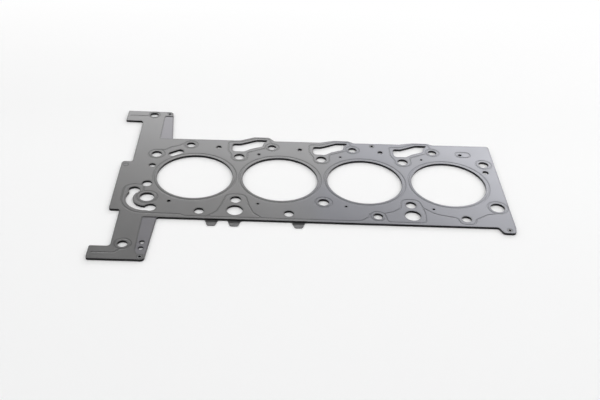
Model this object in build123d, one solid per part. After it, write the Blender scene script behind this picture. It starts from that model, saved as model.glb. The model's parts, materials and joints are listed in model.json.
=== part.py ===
"""Multi-layer steel cylinder head gasket for an in-line four-cylinder engine.

Three sheets lie on each other: two thin spring-steel layers with embossed sealing beads
and a thick flat carrier between them. A stopper ring lies on the carrier round each
cylinder opening, and rivets outside the sealed area hold the stack together.

Frame: X runs along the cylinder bank, Y across it, Z up through the stack. The origin is
the centre of the head bolt pattern on the underside. The timing end, with its two cover
arms, is at -X, and the oil drain openings are along the rear edge, at +Y. Millimetres.
"""
from build123d import *
import math
import os

# ---------------------------------------------------------------- driving sizes
# Cylinders
bore_count = 4
bore_opening_diameter = 88.5
bore_land = 11.5
fire_bead_spacing = 1.0

# Head bolts stand in columns at the webs and both ends, in a rear and a front row.
# Dowels take the place of plain bolt holes at the ends of the front row.
bolt_row_offset = 44.5
bolt_hole_diameter = 12.3
dowel_hole_diameter = 16.5

# The stack
sheet_thickness = 0.3
bead_height = 0.25
carrier_thickness = 1.4
stopper_thickness = 0.12
stopper_bead_gap = 0.3

# Bead sections: width from foot to foot across the groove, and its flat floor
fire_bead_width = 3.0
fire_bead_floor = 0.9
line_bead_width = 2.4
line_bead_floor = 0.7

# Land between a round hole and the centre of the bead round it
bolt_bead_land = 3.45
dowel_bead_land = 3.3
transfer_bead_land = 3.1
cover_bead_land = 3.4

# Edges of the plate beyond the bolt rows and the end columns
front_margin = 36.9
rear_margin_timing = 35.5
rear_margin_flywheel = 42.0
timing_end_margin = 26.6
flywheel_end_margin = 13.5
seam_bead_inset = 3.6

# The lobe on the timing edge, between the arms
lobe_reach = 12.2
lobe_rear_inset = 18.0
lobe_front_outset = 25.0

# Cover arms on the timing end, each with a hook at its tip
arm_root_width = 42.0
rear_arm_length = 65.0
rear_arm_tip_width = 36.0
front_arm_length = 73.2
front_arm_tip_width = 37.8
hook_reach = 21.8
rear_hook_width = 24.2
front_hook_width = 20.8
cover_hole_diameter = 10.8
cover_hole_inset = 12.3
rear_cover_hole_inset = 8.5
front_cover_hole_inset = 24.9

# Where the upper layer stops short on the arms
arm_step_inset = 26.6
rear_step_inset = 10.0
front_step_inset = 9.1

# The riveting ear at the front of the flywheel end
ear_drop = 9.9
ear_width = 15.0

# Tabs of the lower layer on the front edge, from the second bolt column
tab_positions = (-24.7, 0.4, 71.1)
tab_reach = 9.7
tab_root_width = 14.6
tab_tip_width = 8.6

# Thickness code holes on the front arm, beside the step
code_hole_diameter = 5.4
code_hole_inset = 5.6
code_hole_spacing = 10.1
code_hole_rise = 19.1

# Coolant transfer holes, from each cylinder and beyond the bolt rows
rear_transfer_diameter = 10.3
rear_transfer_shift = -10.5
rear_transfer_outset = 23.3
front_transfer_diameter = 11.0
front_transfer_shift = 10.4
front_transfer_outset = 23.4

# Oil returns in front of the second and fourth bolt columns
oil_return_diameter = 18.3
oil_return_outset = 20.0

# Oil drain openings behind the three inner bolt columns. Corners from the bolt hole,
# anticlockwise from the front left, each with its radius. The rear edge swells round them.
drain_corners = (
    (-9.4, 11.9, 4.5),
    (5.5, 11.9, 6.0),
    (13.0, 18.1, 12.0),
    (27.5, 24.8, 3.0),
    (29.0, 32.0, 4.0),
    (34.6, 39.4, 1.2),
    (20.0, 39.4, 9.0),
    (0.5, 29.3, 9.0),
    (-9.4, 29.3, 3.5),
)
drain_shifts = (0.0, -1.5, -0.6)
drain_lands = (6.2, 5.8, 5.4)

# Curved coolant slot round the timing-end dowel, about a point in front of the dowel
dowel_slot_offset = 2.0
dowel_slot_land = 4.05
dowel_slot_width = 8.0
dowel_slot_lobe_diameter = 13.1
dowel_slot_start = 138.0
dowel_slot_sweep = 150.0

# Kidney slot beside the rear bolt of the timing end
kidney_shift = 23.2
kidney_outset = 4.0
kidney_length = 10.4
kidney_width = 9.2
kidney_angle = 35.0

# Metered coolant holes: behind and in front of each cylinder, and behind each web
metered_rear_shift = 24.0
metered_rear_outset = 20.0
metered_rear_diameters = (6.3, 5.2, 6.0, 4.6)
metered_web_shift = 23.7
metered_web_outset = 6.5
metered_web_diameters = (4.0, 3.0, 3.0)
metered_front_shift = -24.6
metered_front_outset = 6.7
metered_front_diameters = (4.0, 3.0, 3.0, 3.0)

# Oil feed and coolant holes beside the end cylinders
timing_feed_shift = -2.2
timing_feed_y = 19.9
timing_feed_diameter = 7.9
timing_coolant_shift = -3.3
timing_coolant_y = -18.2
timing_coolant_diameter = 11.4
flywheel_feed_shift = -0.6
flywheel_feed_y = 27.3
flywheel_feed_diameter = 7.4

# Rivets
rivet_barrel_diameter = 4.0
rivet_bore_diameter = 3.2
rivet_head_diameter = 5.4
rivet_clearance = 0.05
rivet_dimple_slope = 0.6

# ---------------------------------------------------------------- derived sizes
bore_pitch = bore_opening_diameter + bore_land
bore_radius = bore_opening_diameter / 2
stopper_width = (bore_land - fire_bead_spacing) / 2 - fire_bead_width - stopper_bead_gap
stopper_outer_radius = bore_radius + stopper_width
fire_bead_radius = stopper_outer_radius + stopper_bead_gap + fire_bead_width / 2

carrier_bottom = sheet_thickness + bead_height
carrier_top = carrier_bottom + carrier_thickness
stack_height = carrier_top + bead_height + sheet_thickness

bore_x = [(i - (bore_count - 1) / 2) * bore_pitch for i in range(bore_count)]
column_x = [(i - bore_count / 2) * bore_pitch for i in range(bore_count + 1)]
timing_column, *inner_columns, flywheel_column = column_x
second_column, fourth_column = inner_columns[0], inner_columns[-1]
rear_row = bolt_row_offset
front_row = -bolt_row_offset
rear_transfer_x = [x + rear_transfer_shift for x in bore_x]
front_transfer_x = [x + front_transfer_shift for x in bore_x]
rear_transfer_y = rear_row + rear_transfer_outset
front_transfer_y = front_row - front_transfer_outset

front_edge = front_row - front_margin
rear_edge_timing = rear_row + rear_margin_timing
rear_edge_flywheel = rear_row + rear_margin_flywheel
timing_edge = timing_column - timing_end_margin
flywheel_edge = flywheel_column + flywheel_end_margin
seam_y = front_edge + seam_bead_inset

lobe_edge = timing_edge - lobe_reach
lobe_rear = rear_row - lobe_rear_inset
hook_edge = timing_edge - hook_reach
arm_root_x = timing_edge + arm_root_width
arm_step_x = timing_edge + arm_step_inset
rear_arm_tip = rear_edge_timing + rear_arm_length
rear_flank_x = timing_edge + rear_arm_tip_width
rear_hook_y = rear_arm_tip - rear_hook_width
front_arm_tip = front_edge - front_arm_length
front_flank_x = timing_edge + front_arm_tip_width
front_hook_y = front_arm_tip + front_hook_width

cover_hole_x = timing_edge + cover_hole_inset
rear_cover_hole_y = rear_arm_tip - rear_cover_hole_inset
front_cover_hole_y = front_arm_tip + front_cover_hole_inset

bolt_bead_radius = bolt_hole_diameter / 2 + bolt_bead_land
dowel_bead_radius = dowel_hole_diameter / 2 + dowel_bead_land
rear_transfer_bead_radius = rear_transfer_diameter / 2 + transfer_bead_land
front_transfer_bead_radius = front_transfer_diameter / 2 + transfer_bead_land
cover_bead_radius = cover_hole_diameter / 2 + cover_bead_land
dowel_slot_inner_radius = dowel_bead_radius + dowel_slot_land


def rear_edge_at(x):
    """The rear edge runs slightly outwards from the timing end to the flywheel end."""
    share = (x - arm_root_x) / (flywheel_edge - arm_root_x)
    return rear_edge_timing + share * (rear_edge_flywheel - rear_edge_timing)


def drain_top(index):
    """Rearmost edge of one drain opening."""
    return rear_row + drain_shifts[index] + max(y for _, y, _ in drain_corners)


# ---------------------------------------------------------------- outlines
def rounded_face(corners):
    """A flat face from corners given as (x, y, radius)."""
    points = [(x, y) for x, y, _ in corners]
    radii = [radius for _, _, radius in corners]
    return make_face(FilletPolyline(*points, radius=radii, close=True).edges())


def tab_corners():
    """The tabs of the lower layer, from -X to +X along the front edge."""
    corners = []
    tip = front_edge - tab_reach
    for position in tab_positions:
        middle = second_column + position
        corners += [
            (middle - tab_root_width / 2, front_edge, 2.5),
            (middle - tab_tip_width / 2, tip, 2.5),
            (middle + tab_tip_width / 2, tip, 2.5),
            (middle + tab_root_width / 2, front_edge, 2.5),
        ]
    return corners


def swell_corners(index):
    """The swell of the rear edge round one drain opening, from +X to -X."""
    x = inner_columns[index]
    top = drain_top(index) + drain_lands[index]
    return [
        (x + 42.5, rear_edge_at(x + 42.5), 5.0),
        (x + 35.5, top, 5.0),
        (x + 17.0, top, 9.0),
        (x - 0.5, rear_edge_at(x - 0.5), 9.0),
    ]


def full_flanks():
    """The arms' +X flanks at their full width."""
    front = [(front_flank_x, front_arm_tip, 4.0), (arm_root_x, front_edge, 3.5)]
    rear = [(arm_root_x, rear_edge_timing, 1.5), (rear_flank_x, rear_arm_tip, 5.0)]
    return front, rear


def tabbed_flanks():
    """The full flanks with the tabs on the front edge, which only the lower layer has."""
    front, rear = full_flanks()
    return front + tab_corners(), rear


def stepped_flanks():
    """The arms' +X flanks where the upper layer stops short of the code holes."""
    front_step = front_arm_tip + front_step_inset
    rear_step = rear_arm_tip - rear_step_inset
    front = [
        (front_flank_x, front_arm_tip, 4.0),
        (front_flank_x + 0.6, front_step, 0.8),
        (arm_step_x + 3.0, front_step, 2.0),
        (arm_step_x, front_step + 7.0, 4.0),
        (arm_step_x, front_edge, 2.0),
    ]
    rear = [
        (arm_step_x, rear_edge_timing, 1.0),
        (arm_step_x, rear_step, 2.0),
        (rear_flank_x + 0.9, rear_step, 0.8),
        (rear_flank_x, rear_arm_tip, 5.0),
    ]
    return front, rear


def plate_outline(flanks):
    """The outer edge of a layer, anticlockwise from the tip of the rear hook."""
    front_flank, rear_flank = flanks
    timing_end = [
        (hook_edge, rear_arm_tip, 1.5),
        (hook_edge, rear_hook_y, 1.5),
        (timing_edge, rear_hook_y, 4.0),
        (timing_edge, lobe_rear, 3.0),
        (lobe_edge, lobe_rear, 4.0),
        (lobe_edge, front_row - lobe_front_outset, 3.0),
        (timing_edge, front_row - lobe_front_outset, 2.0),
        (timing_edge, front_hook_y, 4.0),
        (hook_edge, front_hook_y, 2.0),
        (hook_edge, front_arm_tip, 2.5),
    ]
    flywheel_end = [
        (flywheel_edge - ear_width - 4.5, front_edge, 3.0),
        (flywheel_edge - ear_width, front_edge - ear_drop, 4.0),
        (flywheel_edge - 1.6, front_edge - ear_drop, 4.0),
        (flywheel_edge, front_edge, 8.0),
        (flywheel_edge, rear_edge_flywheel, 3.0),
    ]
    rear = []
    for index in reversed(range(len(inner_columns))):
        rear += swell_corners(index)
    return rounded_face(timing_end + front_flank + flywheel_end + rear + rear_flank)


# ---------------------------------------------------------------- passages
def round_passages():
    """Every round hole through the whole stack, as (x, y, diameter)."""
    holes = [(x, 0.0, bore_opening_diameter) for x in bore_x]
    holes += [(x, rear_row, bolt_hole_diameter) for x in column_x]
    holes += [(x, front_row, bolt_hole_diameter) for x in inner_columns]
    holes += [(x, front_row, dowel_hole_diameter) for x in (timing_column, flywheel_column)]
    oil_return_y = front_row - oil_return_outset
    holes += [(x, oil_return_y, oil_return_diameter) for x in (second_column, fourth_column)]
    holes += [(x, rear_transfer_y, rear_transfer_diameter) for x in rear_transfer_x]
    holes += [(x, front_transfer_y, front_transfer_diameter) for x in front_transfer_x]
    holes += [(cover_hole_x, rear_cover_hole_y, cover_hole_diameter)]
    holes += [(cover_hole_x, front_cover_hole_y, cover_hole_diameter)]
    return holes + metered_holes() + end_holes()


def metered_holes():
    """Small coolant holes that set the flow round each cylinder."""
    rear_y = rear_row + metered_rear_outset
    web_y = rear_row + metered_web_outset
    front_y = front_row - metered_front_outset
    rear = zip(bore_x, metered_rear_diameters)
    webs = zip(inner_columns, metered_web_diameters)
    front = zip(bore_x, metered_front_diameters)
    holes = [(x + metered_rear_shift, rear_y, diameter) for x, diameter in rear]
    holes += [(x + metered_web_shift, web_y, diameter) for x, diameter in webs]
    holes += [(x + metered_front_shift, front_y, diameter) for x, diameter in front]
    return holes


def end_holes():
    """Oil feed and coolant holes beside the two end cylinders."""
    feed_x = flywheel_column + flywheel_feed_shift
    return [
        (timing_column + timing_feed_shift, timing_feed_y, timing_feed_diameter),
        (timing_column + timing_coolant_shift, timing_coolant_y, timing_coolant_diameter),
        (feed_x, flywheel_feed_y, flywheel_feed_diameter),
    ]


def dowel_slot():
    """Curved coolant slot round the timing-end dowel, with a round lobe at each end."""
    centre_y = front_row - dowel_slot_offset
    middle_radius = dowel_slot_inner_radius + dowel_slot_width / 2
    arc = CenterArc((timing_column, centre_y), middle_radius, dowel_slot_start, dowel_slot_sweep)
    slot = SlotArc(arc, dowel_slot_width)
    lobe_radius = dowel_slot_lobe_diameter / 2
    rear_lobe = Pos(timing_column - middle_radius + 3.6, centre_y + 14.5) * Circle(lobe_radius)
    front_lobe = Pos(timing_column + 6.0, centre_y - middle_radius + 2.0) * Circle(lobe_radius)
    return slot + rear_lobe + front_lobe


def passage_faces():
    """All openings through the whole stack, as flat faces."""
    faces = [Pos(x, y) * Circle(diameter / 2) for x, y, diameter in round_passages()]
    for x, shift in zip(inner_columns, drain_shifts):
        faces.append(Pos(x, rear_row + shift) * rounded_face(drain_corners))
    kidney = Rot(0, 0, kidney_angle) * SlotCenterToCenter(kidney_length, kidney_width)
    faces.append(Pos(timing_column + kidney_shift, rear_row + kidney_outset) * kidney)
    faces.append(dowel_slot())
    return faces


# ---------------------------------------------------------------- rivets
hollow_rivets = {
    "rivet_rear_edge": (bore_x[2] + 14.5, rear_edge_at(bore_x[2]) - 5.6),
    "rivet_front_ear": (flywheel_edge - 8.0, front_edge - ear_drop + 5.3),
    "rivet_rear_arm": (rear_flank_x - 4.2, rear_arm_tip - 4.9),
    "rivet_front_arm": (front_flank_x - 4.8, front_arm_tip + 4.8),
}
solid_rivets = {
    "rivet_timing_lobe": (lobe_edge + 5.3, lobe_rear - 7.5),
}
rivet_places = list(hollow_rivets.values()) + list(solid_rivets.values())


def rivet(x, y, hollow):
    """A flanged rivet whose heads lie in the dimples of the two outer layers."""
    head_radius = rivet_head_diameter / 2
    barrel_radius = rivet_barrel_diameter / 2
    head_thickness = bead_height
    profile = [
        (0.0, 0.0),
        (head_radius, 0.0),
        (head_radius, head_thickness),
        (barrel_radius, head_thickness),
        (barrel_radius, stack_height - head_thickness),
        (head_radius, stack_height - head_thickness),
        (head_radius, stack_height),
        (0.0, stack_height),
    ]
    body = revolve(Plane.XZ * make_face(Polyline(*profile, close=True).edges()), Axis.Z)
    if hollow:
        body -= Cylinder(rivet_bore_diameter / 2, 3 * stack_height)
    return Pos(x, y) * body


# ---------------------------------------------------------------- beads
def bead_sections(width, floor):
    """Corners of the groove that is cut and of the ridge that stands on the other side.

    The outer face of the sheet is at height 0 and the ridge points down. Both flanks
    have one slope, and the sheet keeps its thickness along them.
    """
    run = (width - floor) / 2
    slope = math.atan2(bead_height, run)
    spread = sheet_thickness * math.tan(slope / 2)
    overrun = sheet_thickness / 6
    wider = overrun / math.tan(slope)
    groove = [
        (-floor / 2, -bead_height),
        (floor / 2, -bead_height),
        (width / 2 + wider, overrun),
        (-width / 2 - wider, overrun),
    ]
    crest = floor / 2 + spread
    foot = crest + run + wider
    ridge = [
        (-crest, -sheet_thickness - bead_height),
        (crest, -sheet_thickness - bead_height),
        (foot, -sheet_thickness + overrun),
        (-foot, -sheet_thickness + overrun),
    ]
    return groove, ridge


def section_face(corners):
    """A bead section as a face that stands on the plane y = 0."""
    return Plane.XZ * make_face(Polyline(*corners, close=True).edges())


def ring_bead(x, y, radius, width=line_bead_width, floor=line_bead_floor):
    """Groove and ridge solids of a round bead."""
    solids = []
    for corners in bead_sections(width, floor):
        shifted = [(radius + across, height) for across, height in corners]
        solids.append(Pos(x, y) * revolve(section_face(shifted), Axis.Z))
    return solids


def line_bead(points, radii):
    """Groove and ridge solids of a bead along a flat path of straight runs and arcs."""
    path = FilletPolyline(*points, radius=radii)
    along = path % 0
    across = Vector(-along.Y, along.X, 0)
    start = Plane(origin=path @ 0, x_dir=across, z_dir=along)
    solids = []
    for corners in bead_sections(line_bead_width, line_bead_floor):
        face = start * make_face(Polyline(*corners, close=True).edges())
        solids.append(sweep(face, path=path))
    return solids


def dimple(x, y):
    """Groove and ridge solids of the round recess that takes a rivet head."""
    floor = rivet_head_diameter + 2 * rivet_clearance
    width = floor + 2 * rivet_dimple_slope
    solids = []
    for corners in bead_sections(width, floor):
        half = [(0.0, corners[1][1]), corners[1], corners[2], (0.0, corners[2][1])]
        solids.append(Pos(x, y) * revolve(section_face(half), Axis.Z))
    return solids


def bead_rings():
    """Line beads that run round a single hole, as (x, y, radius)."""
    edge_land = 0.3
    rear_cover_radius = rear_cover_hole_inset - edge_land - line_bead_width / 2
    rings = [(x, rear_row, bolt_bead_radius) for x in (timing_column, flywheel_column)]
    rings += [(x, front_row, dowel_bead_radius) for x in (timing_column, flywheel_column)]
    rings += [(inner_columns[1], front_row, bolt_bead_radius)]
    rings += [(x, rear_transfer_y, rear_transfer_bead_radius) for x in rear_transfer_x]
    rings += [(front_transfer_x[2], front_transfer_y, front_transfer_bead_radius)]
    rings += [(cover_hole_x, rear_cover_hole_y, rear_cover_radius)]
    rings += [(cover_hole_x, front_cover_hole_y, cover_bead_radius)]
    return rings


def timing_seam():
    """Round the curved dowel slot and along the front edge to the third transfer hole."""
    x = timing_column
    slot_rear = front_row + 23.7
    slot_front = front_row - 30.3
    end = front_transfer_x[2]
    points = [
        (x - 5.4, front_row + dowel_bead_radius - 1.3),
        (x - 6.4, slot_rear),
        (x - 28.2, slot_rear),
        (x - 28.2, slot_front),
        (x + 39.5, slot_front),
        (x + 45.5, seam_y),
        (end - 19.4, seam_y),
        (end - 10.2, seam_y + 8.5),
        (end - front_transfer_bead_radius, front_transfer_y + 4.1),
    ]
    return points, [4.5, 10.8, 27.5, 6.0, 6.0, 8.0, 4.0]


def second_bolt_loop():
    """From the seam over the second front bolt and its oil return, and back."""
    x = second_column
    points = [
        (x - 30.5, seam_y),
        (x - 20.0, seam_y + 9.5),
        (x - 14.8, front_row - 9.5),
        (x - 10.3, front_row + 10.1),
        (x + 10.3, front_row + 10.1),
        (x + 14.8, front_row - 9.5),
        (x + 20.0, seam_y + 9.5),
        (x + 30.5, seam_y),
    ]
    return points, [10.0, 20.0, 8.0, 8.0, 20.0, 10.0]


def flywheel_seam():
    """Over the fourth front bolt, below the last transfer hole and on to the dowel."""
    x = fourth_column
    start = front_transfer_x[2] + front_transfer_bead_radius
    hole = front_transfer_x[3]
    dowel = flywheel_column
    points = [
        (start - 0.8, front_transfer_y + 5.3),
        (start + 10.0, front_row - 14.1),
        (x - 12.6, front_row - 7.3),
        (x - 9.6, front_row + 10.3),
        (x + 9.2, front_row + 10.3),
        (x + 13.2, front_row - 5.0),
        (x + 26.0, front_row - 16.1),
        (hole - 10.4, front_row - 22.4),
        (hole - 7.4, seam_y - 0.1),
        (hole + 7.5, seam_y - 0.1),
        (hole + 11.1, front_row - 23.9),
        (dowel - 14.0, front_row - 14.3),
        (dowel - 1.5, front_row - dowel_bead_radius + 0.15),
    ]
    return points, [10.0, 8.0, 8.0, 8.0, 8.0, 20.0, 2.5, 6.0, 6.0, 3.5, 12.0]


def fourth_return_loop():
    """Round the fourth oil return, from the seam over the fourth bolt to the third hole."""
    x = fourth_column
    end = front_transfer_x[2] + front_transfer_bead_radius
    points = [
        (x + 12.6, front_row - 3.5),
        (x + 14.4, front_row - 15.5),
        (x + 13.6, seam_y),
        (end + 1.6, seam_y),
        (end - 0.4, front_transfer_y + 2.9),
    ]
    return points, [20.0, 5.0, 5.0]


def kidney_seam():
    """From the rear bolt of the timing end over the kidney slot to the first transfer hole."""
    x = timing_column
    end = rear_transfer_x[0]
    points = [
        (x + 1.0, rear_row + bolt_bead_radius),
        (x + 10.0, rear_row + bolt_bead_radius),
        (x + 16.5, rear_row + 16.8),
        (end - 15.0, rear_row + 19.5),
        (end - 6.9, rear_transfer_y + 4.2),
    ]
    return points, [6.0, 6.0, 8.0]


def drain_seam(index):
    """Round one drain opening and its bolt, from the next transfer hole and back to it."""
    x = inner_columns[index]
    end = rear_transfer_x[index + 1]
    crest = drain_top(index) + drain_lands[index] / 2
    shoulder = rear_row + 32.8 + drain_shifts[index] / 2
    points = [
        (end - 1.3, rear_transfer_y + 8.0),
        (x + 35.6, crest),
        (x + 18.6, crest),
        (x - 0.5, shoulder),
        (x - 14.2, shoulder),
        (x - 14.2, rear_row + 13.5),
        (x - bolt_bead_radius, rear_row + 3.5),
        (x - bolt_bead_radius, rear_row - bolt_bead_radius),
        (x + bolt_bead_radius, rear_row - bolt_bead_radius),
        (x + bolt_bead_radius, rear_row + 9.1),
        (end - 7.6, rear_transfer_y - 2.4),
    ]
    return points, [3.0, 8.0, 8.0, 4.0, 9.0, 6.0, 8.0, 8.0, 5.0]


def last_hole_loop():
    """A loop round the last metered hole."""
    x = bore_x[-1] + metered_rear_shift
    y = rear_row + metered_rear_outset
    points = [
        (x + 4.0, y - 4.9),
        (x + 12.4, y - 4.9),
        (x + 12.4, y + 6.5),
        (x - 5.6, y + 6.5),
        (x - 5.6, y - 4.9),
        (x + 4.0, y - 4.9),
    ]
    return points, [0.0, 5.0, 5.0, 5.0, 5.0]


def front_hook_seam():
    """Along the front hook to its cover hole."""
    y = front_arm_tip + 10.2
    points = [
        (hook_edge + 4.0, y),
        (cover_hole_x - 6.0, y),
        (cover_hole_x - 2.0, y + 6.2),
    ]
    return points, 4.0


def rear_hook_seam():
    """Along the rear hook to its cover hole, which it meets from slightly in front."""
    y = rear_arm_tip - 11.4
    points = [
        (hook_edge + 4.0, y),
        (cover_hole_x - 12.0, y),
        (cover_hole_x - 6.0, y + 0.6),
    ]
    return points, 20.0


def bead_solids():
    """All grooves and all ridges of one outer layer."""
    fire_bead = (fire_bead_radius, fire_bead_width, fire_bead_floor)
    pairs = [ring_bead(x, 0.0, *fire_bead) for x in bore_x]
    pairs += [ring_bead(x, y, radius) for x, y, radius in bead_rings()]
    paths = [timing_seam(), second_bolt_loop(), flywheel_seam(), fourth_return_loop()]
    paths += [kidney_seam(), last_hole_loop(), front_hook_seam(), rear_hook_seam()]
    paths += [drain_seam(index) for index in range(len(inner_columns))]
    pairs += [line_bead(points, radii) for points, radii in paths]
    pairs += [dimple(x, y) for x, y in rivet_places]
    grooves = [groove for groove, _ in pairs]
    ridges = [ridge for _, ridge in pairs]
    return grooves, ridges


# ---------------------------------------------------------------- pieces
def through_cut(faces):
    """Solids that cut the given flat faces through any layer."""
    return [extrude(Pos(0, 0, -stack_height) * face, 3 * stack_height) for face in faces]


def code_holes():
    """Two round holes beside the upper layer's step that tell the gasket's thickness grade."""
    x = arm_step_x + code_hole_inset
    first = front_arm_tip + code_hole_rise
    return [Pos(x, first + i * code_hole_spacing) * Circle(code_hole_diameter / 2) for i in range(2)]


def formed_layer(outline, cuts, grooves, ridges):
    """One embossed sheet with its outer face at height 0 and its ridges pointing down."""
    sheet = Pos(0, 0, -sheet_thickness) * extrude(outline, sheet_thickness)
    sheet = sheet.fuse(*ridges)
    return sheet.cut(*grooves, *cuts)


def stopper_ring(x):
    """Flat ring that lies on the carrier between a cylinder opening and its fire bead."""
    ring = Cylinder(stopper_outer_radius, stopper_thickness)
    ring -= Cylinder(bore_radius, 2 * stopper_thickness)
    return Pos(x, 0, carrier_top + stopper_thickness / 2) * ring


def build():
    """Every piece by name, in place."""
    passages = through_cut(passage_faces())
    shank_radius = rivet_barrel_diameter / 2 + rivet_clearance
    passages += through_cut([Pos(x, y) * Circle(shank_radius) for x, y in rivet_places])
    codes = through_cut(code_holes())
    grooves, ridges = bead_solids()
    upper = formed_layer(plate_outline(stepped_flanks()), passages, grooves, ridges)
    lower = formed_layer(plate_outline(tabbed_flanks()), passages + codes, grooves, ridges)
    carrier = extrude(plate_outline(full_flanks()), carrier_thickness)

    pieces = {
        "upper_layer": Pos(0, 0, stack_height) * upper,
        "carrier_layer": Pos(0, 0, carrier_bottom) * carrier.cut(*passages, *codes),
        "lower_layer": mirror(lower, about=Plane.XY),
    }
    for number, x in enumerate(bore_x, start=1):
        pieces[f"stopper_ring_{number}"] = stopper_ring(x)
    for name, (x, y) in hollow_rivets.items():
        pieces[name] = rivet(x, y, hollow=True)
    for name, (x, y) in solid_rivets.items():
        pieces[name] = rivet(x, y, hollow=False)
    return pieces


os.makedirs("parts", exist_ok=True)
for name, piece in build().items():
    export_step(piece, f"parts/{name}.step")
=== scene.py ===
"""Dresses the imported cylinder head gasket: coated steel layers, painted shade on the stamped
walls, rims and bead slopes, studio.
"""
import json
import math

import bpy
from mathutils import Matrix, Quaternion, Vector


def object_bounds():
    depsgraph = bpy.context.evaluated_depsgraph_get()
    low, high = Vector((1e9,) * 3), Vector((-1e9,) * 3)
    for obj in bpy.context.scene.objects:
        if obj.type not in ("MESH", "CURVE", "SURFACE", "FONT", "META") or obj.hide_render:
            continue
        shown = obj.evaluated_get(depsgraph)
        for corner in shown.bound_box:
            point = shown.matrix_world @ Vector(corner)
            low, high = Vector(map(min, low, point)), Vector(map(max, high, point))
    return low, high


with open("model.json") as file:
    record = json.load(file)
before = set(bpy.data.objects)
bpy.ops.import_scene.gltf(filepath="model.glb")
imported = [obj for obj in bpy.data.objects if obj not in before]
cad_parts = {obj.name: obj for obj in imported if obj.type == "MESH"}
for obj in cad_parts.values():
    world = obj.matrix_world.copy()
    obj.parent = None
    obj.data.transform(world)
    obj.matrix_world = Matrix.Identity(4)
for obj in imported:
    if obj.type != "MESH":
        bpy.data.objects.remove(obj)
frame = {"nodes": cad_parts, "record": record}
cad_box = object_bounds()
nodes = frame["nodes"]

# ---------------------------------------------------------------- view of the photograph
# Metres and degrees in the frame of the part, lens and sensor in millimetres.
camera_position = (-0.06268, -0.82961, 0.57314)
camera_target = (-0.02690, -0.04151, 0.0025)
camera_roll = 3.378
camera_lens = 51.262
sensor_width = 36.0
nearest_seen = 0.01

# ---------------------------------------------------------------- finishes
# Linear base colours.
coat_colour = (0.302, 0.301, 0.304)
coat_blue = (0.298, 0.301, 0.327)
coat_warm = (0.306, 0.302, 0.299)
coat_speck = (0.236, 0.236, 0.241)
# The next two are painted shade: near black on the stamped walls, and dark in a band along the
# rims.
wall_shade_colour = (0.012, 0.012, 0.013)
painted_rim_shade = (0.060, 0.060, 0.062)
carrier_colour = (0.320, 0.313, 0.335)
carrier_tint = (0.332, 0.328, 0.346)
# Painted shade on the carrier's stamped walls, streaked.
carrier_wall_shade = (0.022, 0.022, 0.023)
# Painted shade: the stopper foil is coloured near black for the bore walls.
stopper_wall_shade = (0.07, 0.07, 0.072)
stopper_wall_shade_lighter = (0.10, 0.10, 0.105)
rivet_colour = (0.24, 0.24, 0.245)
rivet_lighter = (0.34, 0.34, 0.345)

# How metallic each surface is, and the range of its roughness.
coat_metal = 0.88
coat_roughness = (0.285, 0.320)
carrier_metal = 0.88
carrier_roughness = (0.30, 0.34)
stopper_metal = 1.0
stopper_roughness = (0.25, 0.35)
rivet_metal = 0.85
rivet_roughness = (0.35, 0.50)

# Noise: features per metre, the values that most of it fills, and its own roughness.
tint_scale = 7.0
waviness_scale = 16.0
coat_cloud_scale = 45.0
carrier_cloud_scale = 60.0
streak_scale = 260.0
streak_stretch = (1.0, 1.0, 8.0)
foil_scale = 700.0
grain_scale = 900.0
mottle_scale = 1200.0
noise_spread = (0.3, 0.7)
noise_roughness = 0.55

# The tint drifts from warm to blue along X, between two places in metres, with faint specks.
tint_turn = (-0.09, 0.05)
tint_shift = 0.30
blue_drift = (0.45, 0.75)
warm_drift = (0.35, 0.10)
warm_share = 0.5
speck_share = 0.10

# Relief too fine for the solids, in metres.
waviness_height = 0.00005
grain_height = 0.000002
streak_height = 0.000004
mottle_height = 0.00001
edge_roll = 0.0003
bevel_samples = 4

# Steepness of the normal between which walls, bead slopes and rims fade in or out.
wall_tilt = (0.30, 0.60)
slope_tilt = (0.999, 0.985)
rim_tilt = (0.97, 0.80)

# Painted shade: a dark band along the rims, and darker, eased slopes of the beads.
rim_width = 0.0024
rim_strength = 0.80
slope_shade = 0.78
slope_ease = 0.45

# ---------------------------------------------------------------- studio values
# Floor colour at the front and at the back; the step between them is painted light.
floor_near = (0.920, 0.920, 0.920)
floor_far = (0.985, 0.985, 0.985)
floor_roughness = 0.9
floor_gap = 0.0006
floor_size = 12.0
world_strength = 0.215

# The floor's colour brightens along Y as a painted fall-off of the light, and it turns white around
# the part and behind it, in metres.
floor_brightens = (-0.33, 0.05)
white_around = (0.45, 0.90)
white_behind = (0.16, 0.50)

# The white backdrop fades out between these steepnesses of the line of sight.
backdrop_fade = (0.14, 0.30)

# Each softbox: name, position, target, width and height in metres, and power in watts.
middle = (0.0, 0.0, 0.0)
softboxes = (
    ("softbox_back", (1.049, 2.4, 1.182), (0.420, 0.0, 1.182), (5.040, 1.024), 32.4),
    ("softbox_top", (0.0, -0.6, 2.2), middle, (4.2, 3.4), 48.4),
    ("softbox_corner", (1.457, 1.453, 1.235), middle, (2.223, 0.801), 4.8),
    ("softbox_front", (0.2, -2.6, 1.5), middle, (3.0, 1.4), 9.2),
    ("softbox_left", (-2.6, -0.4, 1.3), middle, (2.4, 1.2), 10.0),
    ("softbox_right", (2.6, -0.4, 1.3), middle, (2.4, 1.2), 10.0),
)


# ---------------------------------------------------------------- node helpers
def new_material(name):
    """A node material with only a Principled shader, with its tree and that shader."""
    material = bpy.data.materials.new(name)
    material.use_nodes = True
    tree = material.node_tree
    tree.nodes.clear()
    output = tree.nodes.new("ShaderNodeOutputMaterial")
    shader = tree.nodes.new("ShaderNodeBsdfPrincipled")
    tree.links.new(shader.outputs["BSDF"], output.inputs["Surface"])
    return material, tree, shader


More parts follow.
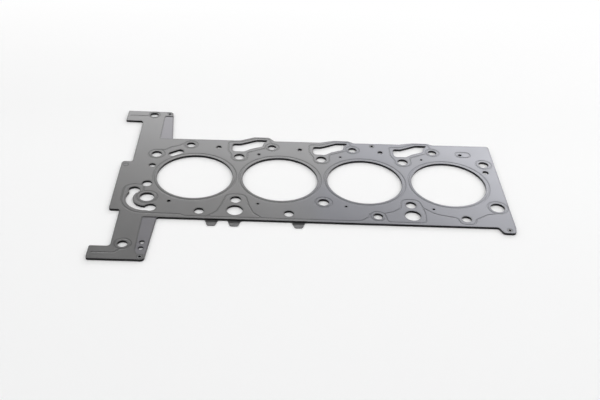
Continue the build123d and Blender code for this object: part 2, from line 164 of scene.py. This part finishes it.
def object_noise(tree, scale, detail=3.0, stretch=(1.0, 1.0, 1.0)):
    """Noise that stays fixed to the part. Scale is in features per metre."""
    coordinates = tree.nodes.new("ShaderNodeTexCoord")
    mapping = tree.nodes.new("ShaderNodeMapping")
    mapping.inputs["Scale"].default_value = stretch
    noise = tree.nodes.new("ShaderNodeTexNoise")
    noise.inputs["Scale"].default_value = scale
    noise.inputs["Detail"].default_value = detail
    noise.inputs["Roughness"].default_value = noise_roughness
    tree.links.new(coordinates.outputs["Object"], mapping.inputs["Vector"])
    tree.links.new(mapping.outputs["Vector"], noise.inputs["Vector"])
    return noise.outputs["Fac"]


def object_axis(tree, axis):
    """One coordinate of the object's own frame, in metres."""
    coordinates = tree.nodes.new("ShaderNodeTexCoord")
    split = tree.nodes.new("ShaderNodeSeparateXYZ")
    tree.links.new(coordinates.outputs["Object"], split.inputs["Vector"])
    return split.outputs[axis]


def map_range(tree, value, low, high, to_low, to_high):
    """A value stretched from one range to another and held at its ends."""
    node = tree.nodes.new("ShaderNodeMapRange")
    node.inputs["From Min"].default_value = low
    node.inputs["From Max"].default_value = high
    node.inputs["To Min"].default_value = to_low
    node.inputs["To Max"].default_value = to_high
    tree.links.new(value, node.inputs["Value"])
    return node.outputs["Result"]


def mix_colour(tree, factor, first, second):
    """A mix of two colours, each a tuple or a socket."""
    node = tree.nodes.new("ShaderNodeMix")
    node.data_type = "RGBA"
    tree.links.new(factor, node.inputs["Factor"])
    for slot, colour in (("A", first), ("B", second)):
        socket = [s for s in node.inputs if s.name == slot and s.type == "RGBA"][0]
        if isinstance(colour, tuple):
            socket.default_value = (*colour, 1.0)
        else:
            tree.links.new(colour, socket)
    return [s for s in node.outputs if s.type == "RGBA"][0]


def shaded(tree, colour, share):
    """A colour darkened to a share of itself."""
    node = tree.nodes.new("ShaderNodeVectorMath")
    node.operation = "SCALE"
    node.inputs["Scale"].default_value = share
    tree.links.new(colour, node.inputs[0])
    return node.outputs["Vector"]


def math_node(tree, operation, first, second):
    """Two values put through one operation of a Math node."""
    node = tree.nodes.new("ShaderNodeMath")
    node.operation = operation
    tree.links.new(first, node.inputs[0])
    tree.links.new(second, node.inputs[1])
    return node.outputs[0]


def steepness(tree, direction):
    """How steeply a direction points up or down: 1 straight up or down, 0 level."""
    split = tree.nodes.new("ShaderNodeSeparateXYZ")
    tree.links.new(direction, split.inputs["Vector"])
    size = tree.nodes.new("ShaderNodeMath")
    size.operation = "ABSOLUTE"
    tree.links.new(split.outputs["Z"], size.inputs[0])
    return size.outputs[0]


def surface_normal(tree):
    """The normal of the sheet itself."""
    return tree.nodes.new("ShaderNodeNewGeometry").outputs["Normal"]


def facing_sideways(tree):
    """1 on the stamped walls of a sheet, 0 on its flat faces and on the slopes of its beads."""
    return map_range(tree, steepness(tree, surface_normal(tree)), *wall_tilt, 1.0, 0.0)


def on_slopes(tree):
    """1 on the slopes of the beads and on walls, 0 on the flat faces."""
    return map_range(tree, steepness(tree, surface_normal(tree)), *slope_tilt, 0.0, 1.0)


def rim_shade_mask(tree):
    """Where painted shade falls: a band along the sheared edges, strongest at the edge itself."""
    tilt = steepness(tree, rolled_edge(tree, rim_width))
    return map_range(tree, tilt, *rim_tilt, 0.0, rim_strength)


def rolled_edge(tree, radius):
    """A normal that turns over at the edges of a sheet, as a sheared edge does."""
    node = tree.nodes.new("ShaderNodeBevel")
    node.samples = bevel_samples
    node.inputs["Radius"].default_value = radius
    return node.outputs["Normal"]


def eased_slopes(tree, normal, share):
    """The normal with the slopes of the beads eased to a share of their steepness.

    The skin of the coat is taken to be less steep than the steel, which softens the light on
    the beads. The stamped walls keep their own normal.
    """
    split = tree.nodes.new("ShaderNodeSeparateXYZ")
    tree.links.new(normal, split.inputs["Vector"])
    joined = tree.nodes.new("ShaderNodeCombineXYZ")
    scale = map_range(tree, facing_sideways(tree), 0.0, 1.0, share, 1.0)
    for axis in ("X", "Y"):
        tree.links.new(math_node(tree, "MULTIPLY", split.outputs[axis], scale), joined.inputs[axis])
    tree.links.new(split.outputs["Z"], joined.inputs["Z"])
    unit = tree.nodes.new("ShaderNodeVectorMath")
    unit.operation = "NORMALIZE"
    tree.links.new(joined.outputs["Vector"], unit.inputs[0])
    return unit.outputs["Vector"]


def bump(tree, shader, height, distance, below=None):
    """Relief from a value, of a distance in metres, on top of an earlier normal if given."""
    node = tree.nodes.new("ShaderNodeBump")
    node.inputs["Strength"].default_value = 1.0
    node.inputs["Distance"].default_value = distance
    tree.links.new(height, node.inputs["Height"])
    if below is not None:
        tree.links.new(below, node.inputs["Normal"])
    tree.links.new(node.outputs["Normal"], shader.inputs["Normal"])
    return node.outputs["Normal"]


# ---------------------------------------------------------------- materials
def coated_layer():
    """Spring steel with a thin satin sealing coat, faint tints, and painted shade on its stamped
    walls, its rims and the slopes of its beads.
    """
    material, tree, shader = new_material("coated_layer")
    tint = object_noise(tree, tint_scale, detail=2.0)
    along = map_range(tree, object_axis(tree, "X"), *tint_turn, -tint_shift, tint_shift)
    drift = math_node(tree, "ADD", tint, along)
    blue = map_range(tree, drift, *blue_drift, 0.0, 1.0)
    warm = map_range(tree, drift, *warm_drift, 0.0, warm_share)
    colour = mix_colour(tree, blue, coat_colour, coat_blue)
    colour = mix_colour(tree, warm, colour, coat_warm)
    grain = object_noise(tree, grain_scale, detail=4.0)
    speck = map_range(tree, grain, *noise_spread, 0.0, speck_share)
    colour = mix_colour(tree, speck, colour, coat_speck)
    # Painted shade on the slopes of the beads.
    colour = mix_colour(tree, on_slopes(tree), colour, shaded(tree, colour, slope_shade))
    # Painted shade in a band along the rims.
    colour = mix_colour(tree, rim_shade_mask(tree), colour, painted_rim_shade)
    # Painted shade: the stamped walls are coloured near black.
    colour = mix_colour(tree, facing_sideways(tree), colour, wall_shade_colour)
    tree.links.new(colour, shader.inputs["Base Color"])
    shader.inputs["Metallic"].default_value = coat_metal
    cloud = object_noise(tree, coat_cloud_scale, detail=4.0)
    satin = map_range(tree, cloud, *noise_spread, *coat_roughness)
    tree.links.new(satin, shader.inputs["Roughness"])
    waviness = object_noise(tree, waviness_scale, detail=1.0)
    skin = eased_slopes(tree, rolled_edge(tree, edge_roll), slope_ease)
    waves = bump(tree, shader, waviness, waviness_height, below=skin)
    bump(tree, shader, grain, grain_height, below=waves)
    return material


def carrier_steel():
    """The thick core: a satin coat on its flat faces, with painted shade on its rims and its
    stamped walls.
    """
    material, tree, shader = new_material("carrier_steel")
    cloud = object_noise(tree, carrier_cloud_scale, detail=4.0)
    streaks = object_noise(tree, streak_scale, stretch=streak_stretch)
    face = mix_colour(tree, cloud, carrier_colour, carrier_tint)
    # Painted shade in a band along the rims of the carrier.
    face = mix_colour(tree, rim_shade_mask(tree), face, painted_rim_shade)
    # Painted shade on the carrier's stamped walls, with random streaks.
    painted_wall = mix_colour(tree, streaks, wall_shade_colour, carrier_wall_shade)
    tree.links.new(mix_colour(tree, facing_sideways(tree), face, painted_wall), shader.inputs["Base Color"])
    shader.inputs["Metallic"].default_value = carrier_metal
    satin = map_range(tree, cloud, *noise_spread, *carrier_roughness)
    tree.links.new(satin, shader.inputs["Roughness"])
    bump(tree, shader, streaks, streak_height)
    return material


def stopper_steel():
    """Bare foil of the stopper rings, coloured near black as painted shade on the bore walls."""
    material, tree, shader = new_material("stopper_steel")
    mottle = object_noise(tree, foil_scale)
    # Painted shade: near black foil with a random mottle.
    colour = mix_colour(tree, mottle, stopper_wall_shade, stopper_wall_shade_lighter)
    tree.links.new(colour, shader.inputs["Base Color"])
    shader.inputs["Metallic"].default_value = stopper_metal
    satin = map_range(tree, mottle, *noise_spread, *stopper_roughness)
    tree.links.new(satin, shader.inputs["Roughness"])
    return material


def rivet_steel():
    """Pressed rivets, a little rougher than the layers, with painted shade on their stamped walls.
    """
    material, tree, shader = new_material("rivet_steel")
    mottle = object_noise(tree, mottle_scale)
    colour = mix_colour(tree, mottle, rivet_colour, rivet_lighter)
    # Painted shade: the rivets' walls are coloured near black.
    colour = mix_colour(tree, facing_sideways(tree), colour, wall_shade_colour)
    tree.links.new(colour, shader.inputs["Base Color"])
    shader.inputs["Metallic"].default_value = rivet_metal
    satin = map_range(tree, mottle, *noise_spread, *rivet_roughness)
    tree.links.new(satin, shader.inputs["Roughness"])
    bump(tree, shader, mottle, mottle_height)
    return material


def dress_nodes():
    """Gives each CAD node the finish of its material slot."""
    finishes = {
        "coated_layer": coated_layer(),
        "carrier_steel": carrier_steel(),
        "stopper_steel": stopper_steel(),
        "rivet_steel": rivet_steel(),
    }
    for part in frame["record"]["subparts"]:
        slots = nodes[part["node"]].material_slots
        for slot in slots:
            slot.material = finishes[part["material_slot"]]


# ---------------------------------------------------------------- studio
def seen_directly(tree):
    """1 for rays from the camera, from reflections and through glass, 0 for diffuse light."""
    path = tree.nodes.new("ShaderNodeLightPath")
    glossy = path.outputs["Is Glossy Ray"]
    through = path.outputs["Is Transmission Ray"]
    either = math_node(tree, "MAXIMUM", glossy, through)
    return math_node(tree, "MAXIMUM", path.outputs["Is Camera Ray"], either)


def distance_out(tree):
    """Distance from the middle of the floor, in metres."""
    coordinates = tree.nodes.new("ShaderNodeTexCoord")
    length = tree.nodes.new("ShaderNodeVectorMath")
    length.operation = "LENGTH"
    tree.links.new(coordinates.outputs["Object"], length.inputs[0])
    return length.outputs["Value"]


def fade_to_white(tree, factor, shader, output):
    """Mixes a shader with plain white by a factor, for rays that see it directly."""
    white = tree.nodes.new("ShaderNodeEmission")
    mix = tree.nodes.new("ShaderNodeMixShader")
    tree.links.new(math_node(tree, "MULTIPLY", factor, seen_directly(tree)), mix.inputs[0])
    tree.links.new(shader, mix.inputs[1])
    tree.links.new(white.outputs["Emission"], mix.inputs[2])
    tree.links.new(mix.outputs["Shader"], output)


def floor():
    """A pale seamless floor just under the gasket, lighter towards the back as painted light, which
    turns white away from it.
    """
    bpy.ops.mesh.primitive_plane_add(size=floor_size, location=(0.0, 0.0, cad_box[0].z - floor_gap))
    plane = bpy.context.object
    plane.name = "studio_floor"
    material, tree, shader = new_material("studio_floor")
    # Painted light: the floor's colour brightens towards the back.
    depth = map_range(tree, object_axis(tree, "Y"), *floor_brightens, 0.0, 1.0)
    tree.links.new(mix_colour(tree, depth, floor_near, floor_far), shader.inputs["Base Color"])
    shader.inputs["Roughness"].default_value = floor_roughness
    around = map_range(tree, distance_out(tree), *white_around, 0.0, 1.0)
    behind = map_range(tree, object_axis(tree, "Y"), *white_behind, 0.0, 1.0)
    far = math_node(tree, "MAXIMUM", around, behind)
    output = tree.nodes["Material Output"].inputs["Surface"]
    fade_to_white(tree, far, shader.outputs["BSDF"], output)
    plane.data.materials.append(material)


def area_light(name, position, target, size, power):
    """A rectangular softbox that points at its target."""
    light = bpy.data.lights.new(name, "AREA")
    light.shape = "RECTANGLE"
    light.size, light.size_y = size
    light.energy = power
    lamp = bpy.data.objects.new(name, light)
    lamp.location = position
    lamp.rotation_euler = (Vector(target) - Vector(position)).to_track_quat("-Z", "Y").to_euler()
    bpy.context.scene.collection.objects.link(lamp)


def studio():
    """Even world light with a white backdrop near the horizon, and the softboxes."""
    world = bpy.data.worlds.new("studio")
    world.use_nodes = True
    tree = world.node_tree
    background = tree.nodes["Background"]
    background.inputs["Color"].default_value = (1.0, 1.0, 1.0, 1.0)
    background.inputs["Strength"].default_value = world_strength
    sky = tree.nodes.new("ShaderNodeTexCoord").outputs["Generated"]
    low = map_range(tree, steepness(tree, sky), *backdrop_fade, 1.0, 0.0)
    output = tree.nodes["World Output"].inputs["Surface"]
    fade_to_white(tree, low, background.outputs["Background"], output)
    bpy.context.scene.world = world
    for softbox in softboxes:
        area_light(*softbox)


def camera():
    """The photograph's view: a point, a target and a small roll."""
    data = bpy.data.cameras.new("photo_camera")
    data.sensor_width = sensor_width
    data.lens = camera_lens
    data.clip_start = nearest_seen
    view = bpy.data.objects.new("photo_camera", data)
    position = Vector(camera_position)
    aim = (Vector(camera_target) - position).to_track_quat("-Z", "Y")
    roll = Quaternion((0.0, 0.0, 1.0), math.radians(camera_roll))
    view.location = position
    view.rotation_mode = "QUATERNION"
    view.rotation_quaternion = aim @ roll
    bpy.context.scene.collection.objects.link(view)
    bpy.context.scene.camera = view


dress_nodes()
floor()
studio()
camera()
bpy.context.scene.view_settings.view_transform = "Standard"
